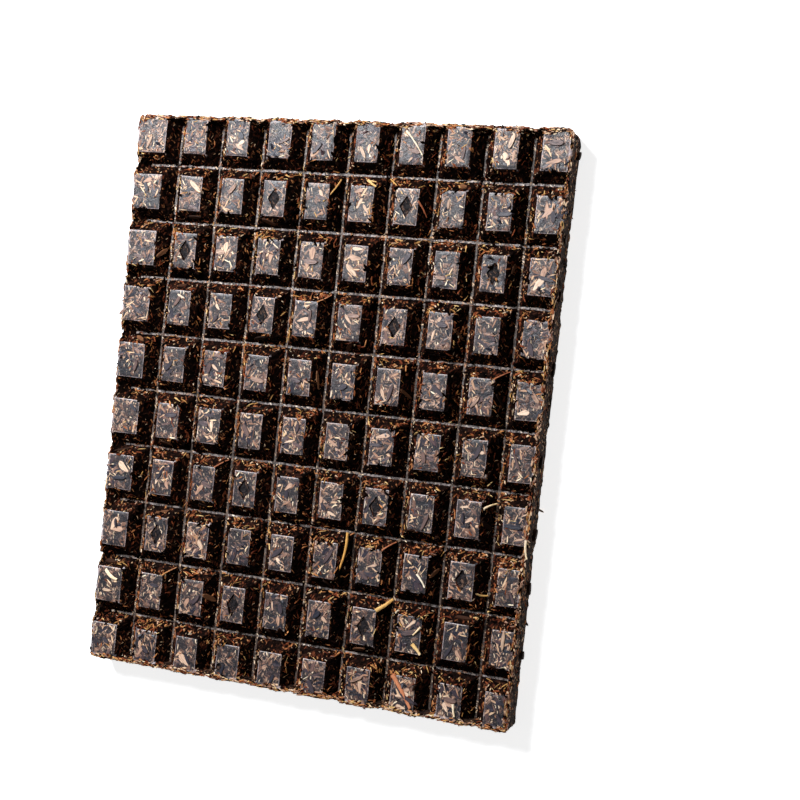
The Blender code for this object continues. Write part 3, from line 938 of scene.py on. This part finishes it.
def zone_triangles(mesh):
    """The brick's triangles by where they are: corners[zone] and facings[zone]."""
    mesh.calc_loop_triangles()
    corners = np.array([corner.co for corner in mesh.vertices])
    loops = np.array([triangle.vertices for triangle in mesh.loop_triangles])
    owners = [triangle.polygon_index for triangle in mesh.loop_triangles]
    finishes = np.array([face.material_index for face in mesh.polygons])[owners]
    triangles = corners[loops]
    facings = np.cross(triangles[:, 1] - triangles[:, 0], triangles[:, 2] - triangles[:, 0])
    facings /= np.maximum(np.linalg.norm(facings, axis=1, keepdims=True), 1e-15)
    x, y, z = facings.T
    top, slope, floor, wall, lane = (finishes == ZONES.index(name) for name in ZONES[:5])
    zones = {
        "top": top & (z > 0), "back": top & (z < 0), "floor": floor, "lane": lane,
        "right": slope & (x > abs(y)), "left": slope & (-x > abs(y)),
        "far": slope & (y > abs(x)), "near": slope & (-y > abs(x)),
        "rim": wall & (z > 0.5), "wall": wall & (z <= 0.5),
    }
    return {zone: (triangles[chosen], facings[chosen]) for zone, chosen in zones.items()}


def kept_on_block(spots, reach_x, reach_y):
    """Moves places on the block tops inwards until a bit of that reach fits on its block."""
    flat = spots - np.array(PATTERN_MIDDLE)
    for axis, pitch, count, half, reach in ((0, PITCH_X, COLUMNS, BLOCK_TOP_X / 2, reach_x),
                                            (1, PITCH_Y, ROWS, BLOCK_TOP_Y / 2, reach_y)):
        steps = flat[:, axis] / pitch + count / 2
        block = np.clip(np.floor(steps), 0, count - 1)
        middle = (block + 0.5 - count / 2) * pitch
        room = np.maximum(half - reach, 0)
        low = np.where(block == 0, -pitch, -room)
        high = np.where(block == count - 1, pitch, room)
        flat[:, axis] = middle + np.clip(flat[:, axis] - middle, low, high)
    return flat + np.array(PATTERN_MIDDLE)


def clear_of_marks(spots, reach_x, reach_y):
    """Which bits on the block tops leave the sunk lozenges and the dent open."""
    dent = np.array(block_middle(*DENT_BLOCK) + DENT_SHIFT + PATTERN_MIDDLE)
    clear = np.hypot(*(spots - dent).T[:2]) > DENT_RADIUS + (reach_x + reach_y) / 2
    for column, row in MARKED_BLOCKS:
        away = abs(spots - np.array(block_middle(column, row) + PATTERN_MIDDLE))
        clear &= (away[:, 0] / (MARK_HALF_X + MARK_OVERLAP * reach_x)
                  + away[:, 1] / (MARK_HALF_Y + MARK_OVERLAP * reach_y)) > 1
    return clear


def gathered_spots(zone, count):
    """Spots spread over a zone in loose clumps, each with the way its surface faces."""
    triangles, facings = ZONE_TRIANGLES[zone]
    edges = triangles[:, 1:] - triangles[:, :1]
    areas = np.linalg.norm(np.cross(edges[:, 0], edges[:, 1]), axis=1)
    tried = count if zone == "rim" else count * CLUMP_CHOICE
    drawn = chance.choice(len(areas), tried, p=areas / areas.sum())
    shares = chance.uniform(0, 1, (tried, 2))
    shares = np.where(shares.sum(1, keepdims=True) > 1, 1 - shares, shares)
    spots = triangles[drawn, 0] + (edges[drawn] * shares[:, :, None]).sum(1)
    shift = Vector((0, 0, chance.uniform(0, 1)))
    clumps = [noise.noise(Vector(spot) / CLUMP_LENGTH + shift) for spot in spots]
    kept = np.argsort(clumps + chance.uniform(0, CLUMP_SPREAD, tried))[-count:]
    return spots[kept], facings[drawn[kept]]


def sliver_places(zone, count, lengths, widths, prouds):
    """Places for that many bits of a zone, turned every way, or along the sides near the rim."""
    spots, up = gathered_spots(zone, count)
    heading = chance.normal(0, 1, (count, 3))
    if zone in ("rim", "wall"):
        beside = abs(spots[:, :1]) / SPAN_X > abs(spots[:, 1:2]) / SPAN_Y
        heading += np.where(beside, (0, SIDE_GRAIN, 0), (SIDE_GRAIN, 0, 0))
    across = np.cross(up, heading)
    across /= np.linalg.norm(across, axis=1, keepdims=True)
    along = np.cross(across, up)
    sizes = [chance.uniform(*span, count) for span in (lengths, widths, prouds)]
    open_marks = np.ones(count, bool)
    if zone == "top":
        reach = [(sizes[0] * abs(along[:, axis]) + sizes[1] * abs(across[:, axis])) / 2
                 for axis in (0, 1)]
        spots = kept_on_block(spots, *reach)
        open_marks = clear_of_marks(spots, *reach)
    if zone == "wall":
        reach = (sizes[0] * abs(along[:, 2]) + sizes[1] * abs(across[:, 2])) / 2 + sizes[2]
        spots[:, 2] = np.clip(spots[:, 2], reach, None)
    places = np.zeros((count, 4, 4))
    places[:, :3, 0] = along * sizes[0][:, None]
    places[:, :3, 1] = across * sizes[1][:, None]
    places[:, :3, 2] = up * (sizes[2] + SLIVER_ROOT)[:, None]
    places[:, :3, 3] = spots - up * SLIVER_ROOT
    places[:, 3, 3] = 1
    return places[open_marks]


def scatter(name, template, spread, material):
    """One piece of many like bits. spread lists zone, count, lengths, widths and prouds in mm."""
    batches = [sliver_places(zone, count, *(np.array(span) / 1000 for span in spans))
               for zone, count, *spans in spread]
    places = np.concatenate(batches)
    piece = joined_copies(name, template, places, chance.uniform(0, 1, len(places)))
    dress(piece, material)


ZONE_TRIANGLES = zone_triangles(brick.data)
straight_plate = leaf_plate(8, 0.25, 0.0, 7)
bent_plate = leaf_plate(8, 0.25, 0.9, 9)

scatter("mauve_leaf_bits", straight_plate, [
    ("top", 1100, (3.0, 8.0), (0.8, 2.8), (0.03, 0.12)),
    ("back", 500, (3.0, 8.0), (1.0, 2.6), (0.03, 0.10)),
], dried_leaf("mauve_leaf", [
    (0.0, colour(0.009, 0.011, 0.020)), (0.5, colour(0.033, 0.028, 0.040)),
    (0.8, colour(0.092, 0.052, 0.054)), (1.0, colour(0.25, 0.145, 0.11))], 0.34))

# Tan bits lie on the left- and far-facing slopes but not on the right- or near-facing ones: painted light
# on the slopes that face the lamp.
scatter("tan_leaf_bits", bent_plate, [
    ("top", 850, (1.5, 7.5), (0.3, 1.5), (0.05, 0.2)),
    ("floor", 160, (1.5, 4.0), (0.4, 0.9), (0.05, 0.2)),
    ("lane", 120, (1.5, 4.0), (0.4, 0.9), (0.05, 0.2)),
    ("rim", 600, (1.2, 4.4), (0.4, 1.1), (0.15, 0.5)),
    ("wall", 200, (1.0, 4.0), (0.3, 0.9), (0.05, 0.25)),
    ("back", 700, (2.0, 7.0), (0.4, 1.3), (0.03, 0.10)),
    ("far", 120, (1.5, 4.0), (0.4, 1.0), (0.1, 0.4)),
    ("left", 260, (1.2, 4.0), (0.4, 1.0), (0.1, 0.4)),
], dried_leaf("tan_leaf", [
    (0.0, colour(0.14, 0.060, 0.038)), (0.55, colour(0.40, 0.21, 0.13)),
    (1.0, colour(0.80, 0.54, 0.34))], 0.45))

# Cream bits crowd the left- and far-facing slopes and thin out on the right- and near-facing ones: painted
# light on the slopes that face the lamp.
scatter("cream_leaf_bits", straight_plate, [
    ("top", 330, (1.4, 5.5), (0.3, 1.1), (0.06, 0.2)),
    ("far", 150, (1.0, 3.0), (0.3, 0.8), (0.1, 0.4)),
    ("left", 240, (1.0, 3.0), (0.3, 0.8), (0.1, 0.4)),
    ("right", 80, (1.0, 2.5), (0.3, 0.7), (0.1, 0.4)),
    ("near", 50, (1.0, 2.5), (0.3, 0.7), (0.1, 0.4)),
    ("floor", 60, (0.8, 2.2), (0.3, 0.7), (0.1, 0.3)),
    ("lane", 90, (0.8, 2.2), (0.3, 0.7), (0.1, 0.3)),
    ("rim", 260, (0.8, 3.2), (0.3, 0.9), (0.15, 0.45)),
    ("wall", 50, (1.0, 3.0), (0.3, 0.7), (0.05, 0.2)),
    ("back", 220, (1.4, 5.0), (0.3, 0.9), (0.03, 0.10)),
], dried_leaf("cream_leaf", [
    (0.0, colour(0.60, 0.36, 0.21)), (0.5, colour(0.85, 0.61, 0.38)),
    (1.0, colour(0.97, 0.82, 0.59))], 0.5))

# Rust bits are densest on the far- and left-facing slopes: painted light on the slopes that face the lamp.
scatter("rust_leaf_bits", bent_plate, [
    ("far", 1300, (1.2, 5.0), (0.3, 1.0), (0.1, 0.5)),
    ("left", 800, (1.2, 5.0), (0.3, 1.0), (0.1, 0.5)),
    ("right", 700, (1.0, 4.5), (0.3, 1.0), (0.1, 0.5)),
    ("near", 560, (1.0, 4.0), (0.3, 0.8), (0.1, 0.5)),
    ("floor", 60, (1.2, 3.5), (0.3, 0.8), (0.05, 0.2)),
    ("lane", 220, (1.2, 3.5), (0.3, 0.8), (0.05, 0.25)),
    ("top", 160, (1.5, 4.5), (0.4, 1.0), (0.06, 0.2)),
    ("rim", 900, (1.2, 4.2), (0.3, 0.9), (0.15, 0.45)),
    ("wall", 500, (1.0, 4.0), (0.3, 0.9), (0.05, 0.25)),
    ("back", 500, (1.5, 6.0), (0.4, 1.2), (0.03, 0.10)),
], dried_leaf("rust_leaf", [
    (0.0, colour(0.064, 0.011, 0.005)), (0.5, colour(0.24, 0.058, 0.021)),
    (1.0, colour(0.58, 0.24, 0.085))], 0.6, 0.07))

# Gold bits crowd the far- and left-facing slopes and thin out on the right- and near-facing ones: painted
# light on the slopes that face the lamp.
scatter("gold_stalk_bits", straight_plate, [
    ("far", 420, (1.8, 6.0), (0.25, 0.7), (0.15, 0.5)),
    ("left", 280, (1.5, 5.0), (0.25, 0.7), (0.15, 0.5)),
    ("right", 120, (1.5, 4.0), (0.25, 0.6), (0.15, 0.5)),
    ("near", 90, (1.5, 4.0), (0.25, 0.6), (0.15, 0.5)),
    ("lane", 60, (1.5, 4.0), (0.25, 0.6), (0.1, 0.3)),
    ("top", 90, (1.5, 5.0), (0.3, 0.7), (0.1, 0.3)),
    ("rim", 380, (1.2, 4.4), (0.3, 0.8), (0.15, 0.45)),
    ("wall", 140, (1.5, 4.0), (0.3, 0.7), (0.05, 0.25)),
    ("back", 140, (1.8, 7.0), (0.3, 0.8), (0.03, 0.10)),
], dried_leaf("gold_stalk", [
    (0.0, colour(0.30, 0.115, 0.030)), (0.5, colour(0.56, 0.29, 0.085)),
    (1.0, colour(0.82, 0.56, 0.24))], 0.5, 0.2))

scatter("dark_leaf_bits", straight_plate, [
    ("far", 1100, (2.0, 6.0), (0.8, 2.0), (0.1, 0.6)),
    ("left", 900, (2.0, 6.0), (0.8, 2.0), (0.1, 0.6)),
    ("right", 900, (2.0, 6.0), (0.8, 2.0), (0.1, 0.6)),
    ("near", 850, (2.0, 6.0), (0.8, 2.0), (0.1, 0.6)),
    ("rim", 850, (1.0, 3.0), (0.5, 1.3), (0.1, 0.4)),
    ("wall", 1350, (1.0, 3.2), (0.6, 1.5), (0.05, 0.2)),
    ("top", 500, (1.0, 4.0), (0.3, 0.8), (0.02, 0.08)),
    ("back", 400, (2.0, 6.0), (0.6, 2.0), (0.03, 0.10)),
], dried_leaf("dark_leaf", [
    (0.0, colour(0.0008, 0.0003, 0.0003)), (0.7, colour(0.0040, 0.0016, 0.0012)),
    (1.0, colour(0.022, 0.009, 0.005))], 0.8, 0.02))


# ---- Long stalks and strips --------------------------------------------------------------------
# The stalks and strips long enough to notice, pressed into the face by chance. Each has two ends
# as (column, row, level), level 1 on a block's top and 0 on a groove's floor, then its width,
# height and bow, and the tone of both ends from orange through gold to cream.

LONG_STALKS = (
    ((5.90, 7.00, 0.50), (5.80, 7.65, 0.65), 0.0016, 0.0014, 0.05, 0.50, 0.42),
    ((6.75, 8.20, 1.00), (7.00, 8.00, 0.10), 0.0021, 0.0010, -0.03, 0.60, 0.48),
    ((8.70, 7.60, 1.00), (9.00, 7.70, 0.10), 0.0015, 0.0014, -0.14, 0.80, 0.48),
    ((8.80, 6.30, 0.80), (9.00, 6.20, 0.10), 0.0013, 0.0012, 0.05, 0.85, 0.70),
    ((6.35, 0.25, 1.00), (6.75, 0.65, 1.00), 0.0010, 0.0010, 0.03, 0.95, 0.90),
    ((7.25, 9.20, 1.00), (7.70, 9.70, 1.00), 0.0023, 0.0010, 0.02, 0.12, 0.10),
    ((7.60, 8.65, 1.00), (7.80, 8.80, 1.00), 0.0020, 0.0012, 0.04, 0.60, 0.75),
    ((9.75, 6.70, 1.00), (9.80, 7.00, 1.00), 0.0012, 0.0012, -0.06, 0.90, 0.80),
    ((7.55, 7.50, 1.00), (7.75, 7.70, 1.00), 0.0011, 0.0010, 0.04, 1.00, 0.95),
    ((7.75, 8.35, 1.00), (7.60, 8.50, 1.00), 0.0012, 0.0010, 0.02, 0.85, 0.75),
    ((8.60, 9.50, 1.00), (8.65, 9.70, 1.00), 0.0014, 0.0010, -0.03, 0.95, 0.80),
    ((0.35, 8.25, 1.00), (0.65, 8.40, 1.00), 0.0022, 0.0010, -0.10, 0.90, 0.80),
    ((4.95, 1.10, 0.50), (4.65, 1.50, 1.00), 0.0009, 0.0008, 0.04, 0.40, 0.62),
    ((6.05, 1.05, 0.50), (6.40, 1.30, 1.00), 0.0007, 0.0007, 0.03, 0.45, 0.66),
    ((5.60, 1.10, 0.90), (5.80, 1.20, 0.95), 0.0014, 0.0009, -0.03, 0.66, 0.55),
    ((6.75, 1.40, 0.95), (6.90, 1.65, 0.35), 0.0011, 0.0007, 0.04, 0.05, 0.00),
    ((6.75, 7.20, 1.00), (6.95, 7.05, 0.15), 0.0009, 0.0009, 0.03, 0.12, 0.04),
    ((2.75, 6.20, 1.00), (2.95, 6.05, 0.15), 0.0008, 0.0008, 0.03, 0.10, 0.06),
    ((4.75, 3.20, 1.00), (4.95, 3.05, 0.15), 0.0008, 0.0008, -0.03, 0.30, 0.10),
    ((8.75, 4.20, 1.00), (9.00, 4.05, 0.15), 0.0008, 0.0008, 0.03, 0.08, 0.04),
    ((1.75, 8.20, 1.00), (1.95, 8.05, 0.15), 0.0008, 0.0008, 0.03, 0.35, 0.20),
)
STALK_SIDES = 10
STALK_TAPER = 0.65
STALK_CUTS = 9
STALK_LIFT = 0.00035
STALK_RAGGED = 0.22


def stalk_shape(start, end, width, height, bow):
    """A bowed, slightly ragged stalk between two places."""
    along = end - start
    shape = bmesh.new()
    bmesh.ops.create_cone(shape, cap_ends=True, segments=STALK_SIDES, radius1=0.5,
                          radius2=0.5 * STALK_TAPER, depth=along.length,
                          matrix=Matrix.Rotation(math.radians(90), 4, "Y"))
    bmesh.ops.scale(shape, vec=(1, width, height), verts=shape.verts)
    long_edges = [edge for edge in shape.edges if edge.calc_length() > along.length / 2]
    bmesh.ops.subdivide_edges(shape, edges=long_edges, cuts=STALK_CUTS)
    for corner in shape.verts:
        ragged = noise.noise_vector(corner.co / width + start / width) * STALK_RAGGED
        share = 2 * corner.co.x / along.length
        corner.co.y = corner.co.y * (1 + ragged.y) + bow * along.length * (1 - share ** 2)
        corner.co.z *= 1 + ragged.z
    bmesh.ops.triangulate(shape, faces=shape.faces)
    turn = along.to_track_quat("X", "Z").to_matrix().to_4x4()
    shape.transform(Matrix.Translation((start + end) / 2) @ turn)
    return shape


def stalk_end(column, row, level):
    return PATTERN_MIDDLE + grid_place(column, row, THICKNESS - GROOVE_DEPTH * (1 - level) + STALK_LIFT)


def lay_long_stalks():
    """All the long stalks as one piece, with a tone that runs from end to end."""
    whole = bmesh.new()
    tones = []
    along = []
    for start, end, width, height, bow, tone_start, tone_end in LONG_STALKS:
        first, last = stalk_end(*start), stalk_end(*end)
        shape = stalk_shape(first, last, width, height, bow)
        heading = last - first
        for corner in shape.verts:
            share = (corner.co - first).dot(heading) / heading.length_squared
            tones.append(between((tone_start, tone_end), min(max(share, 0), 1)))
            along.append((share * 3, (corner.co - first).cross(heading.normalized()).z / width, 0))
        stalk = bpy.data.meshes.new("stalk")
        shape.to_mesh(stalk)
        shape.free()
        whole.from_mesh(stalk)
    piece = mesh_piece("long_stalks", whole)
    tint = piece.data.attributes.new("tint", "FLOAT", "POINT")
    tint.data.foreach_set("value", tones)
    place = piece.data.attributes.new("along_leaf", "FLOAT_VECTOR", "POINT")
    place.data.foreach_set("vector", np.ravel(along))
    return piece


long_stalks = lay_long_stalks()
dress(long_stalks, dried_leaf("long_stalk", [
    (0.0, colour(0.42, 0.11, 0.045)), (0.2, colour(0.62, 0.26, 0.13)), (0.45, colour(0.60, 0.29, 0.060)),
    (0.65, colour(0.80, 0.50, 0.19)), (1.0, colour(0.97, 0.84, 0.66))], 0.45, 0.25))


# ---- Crumbs ------------------------------------------------------------------------------------
# Broken specks of leaf that cling to the cut rims and sides and lie in the grooves.

CRUMB_SQUASH = 0.6
CRUMB_RAGGED = 0.25


def crumb_ball():
    """A ragged lump 1 across."""
    draw = random.Random(SEED)
    shape = bmesh.new()
    bmesh.ops.create_icosphere(shape, subdivisions=1, radius=0.5)
    for corner in shape.verts:
        corner.co *= 1 + draw.uniform(-CRUMB_RAGGED, CRUMB_RAGGED)
        corner.co.z = corner.co.z * CRUMB_SQUASH + 0.4
    ball = bpy.data.meshes.new("crumb_ball")
    shape.to_mesh(ball)
    shape.free()
    return ball


ball = crumb_ball()
# Pale crumbs lie on the far- and left-facing slopes but not on the right- or near-facing ones: painted
# light on the slopes that face the lamp.
scatter("pale_crumbs", ball, [
    ("rim", 850, (0.5, 1.3), (0.4, 1.0), (0.15, 0.5)),
    ("wall", 260, (0.4, 1.1), (0.3, 0.8), (0.1, 0.25)),
    ("floor", 160, (0.4, 0.9), (0.3, 0.7), (0.1, 0.4)),
    ("lane", 200, (0.4, 0.9), (0.3, 0.7), (0.1, 0.4)),
    ("far", 260, (0.4, 1.1), (0.3, 0.9), (0.1, 0.5)),
    ("left", 160, (0.4, 1.0), (0.3, 0.8), (0.1, 0.5)),
    ("top", 300, (0.4, 0.9), (0.3, 0.7), (0.05, 0.15)),
], dried_leaf("pale_crumb", [
    (0.0, colour(0.22, 0.11, 0.065)), (0.5, colour(0.50, 0.32, 0.21)),
    (1.0, colour(0.90, 0.75, 0.57))], 0.6, 0.2))
scatter("dark_crumbs", ball, [
    ("rim", 1500, (0.5, 1.5), (0.4, 1.2), (0.15, 0.5)),
    ("wall", 2200, (0.4, 1.5), (0.4, 1.1), (0.1, 0.25)),
    ("floor", 170, (0.7, 2.0), (0.4, 0.9), (0.1, 0.3)),
    ("lane", 170, (0.7, 2.0), (0.4, 0.9), (0.1, 0.3)),
    ("far", 500, (0.5, 1.5), (0.4, 1.1), (0.1, 0.6)),
    ("left", 400, (0.5, 1.5), (0.4, 1.1), (0.1, 0.6)),
    ("right", 400, (0.5, 1.5), (0.4, 1.1), (0.1, 0.6)),
    ("near", 400, (0.5, 1.5), (0.4, 1.1), (0.1, 0.6)),
], dried_leaf("dark_crumb", [
    (0.0, colour(0.002, 0.001, 0.0007)), (0.7, colour(0.014, 0.007, 0.005)),
    (1.0, colour(0.060, 0.028, 0.016))], 0.75, 0.03))


# ---- Floor, light and camera -------------------------------------------------------------------
# The brick lies on a plain white table under one soft lamp from the far left, so its right and
# near slopes fall into shade.

FLOOR_SIZE = 40.0
FLOOR_GAP = 0.0003
FLOOR_GLOW = 0.80
LAMP_PLACE = Vector((-0.45, 0.55, 0.75))
LAMP_SIZE = 0.35
LAMP_POWER = 25.0
LAMP_COLOUR = (0.94, 0.97, 1.0)
ROOM_GREY = 0.09
CAMERA_PLACE = Vector((0.3439, 0.0200, 0.7495))
CAMERA_TURN = (math.radians(1.537), math.radians(22.109), math.radians(6.356))
CAMERA_LENS = 72.2

floor_shape = bmesh.new()
bmesh.ops.create_grid(floor_shape, x_segments=1, y_segments=1, size=FLOOR_SIZE / 2,
                      matrix=Matrix.Translation((0, 0, -FLOOR_GAP)))
floor = mesh_piece("floor", floor_shape)
table = Finish("white_table", 0.2)
table.set("Base Color", colour(0.9, 0.9, 0.9))
table.set("Roughness", 0.8)
table.set("Emission Color", colour(1.0, 1.0, 1.0))
table.set("Emission Strength", FLOOR_GLOW)
floor.data.materials.append(table.material)

lamp = bpy.data.objects.new("lamp", bpy.data.lights.new("lamp", "AREA"))
lamp.data.size = LAMP_SIZE
lamp.data.energy = LAMP_POWER
lamp.data.color = LAMP_COLOUR
lamp.location = LAMP_PLACE
lamp.rotation_euler = LAMP_PLACE.to_track_quat("Z", "Y").to_euler()
bpy.context.scene.collection.objects.link(lamp)

room = bpy.data.worlds.new("room")
room.use_nodes = True
room.node_tree.nodes["Background"].inputs["Color"].default_value = colour(1.0, 1.0, 1.0)
room.node_tree.nodes["Background"].inputs["Strength"].default_value = ROOM_GREY
bpy.context.scene.world = room
bpy.context.scene.view_settings.view_transform = "Standard"

camera = bpy.data.objects.new("camera", bpy.data.cameras.new("camera"))
camera.data.lens = CAMERA_LENS
camera.location = CAMERA_PLACE
camera.rotation_euler = CAMERA_TURN
bpy.context.scene.collection.objects.link(camera)
bpy.context.scene.camera = camera
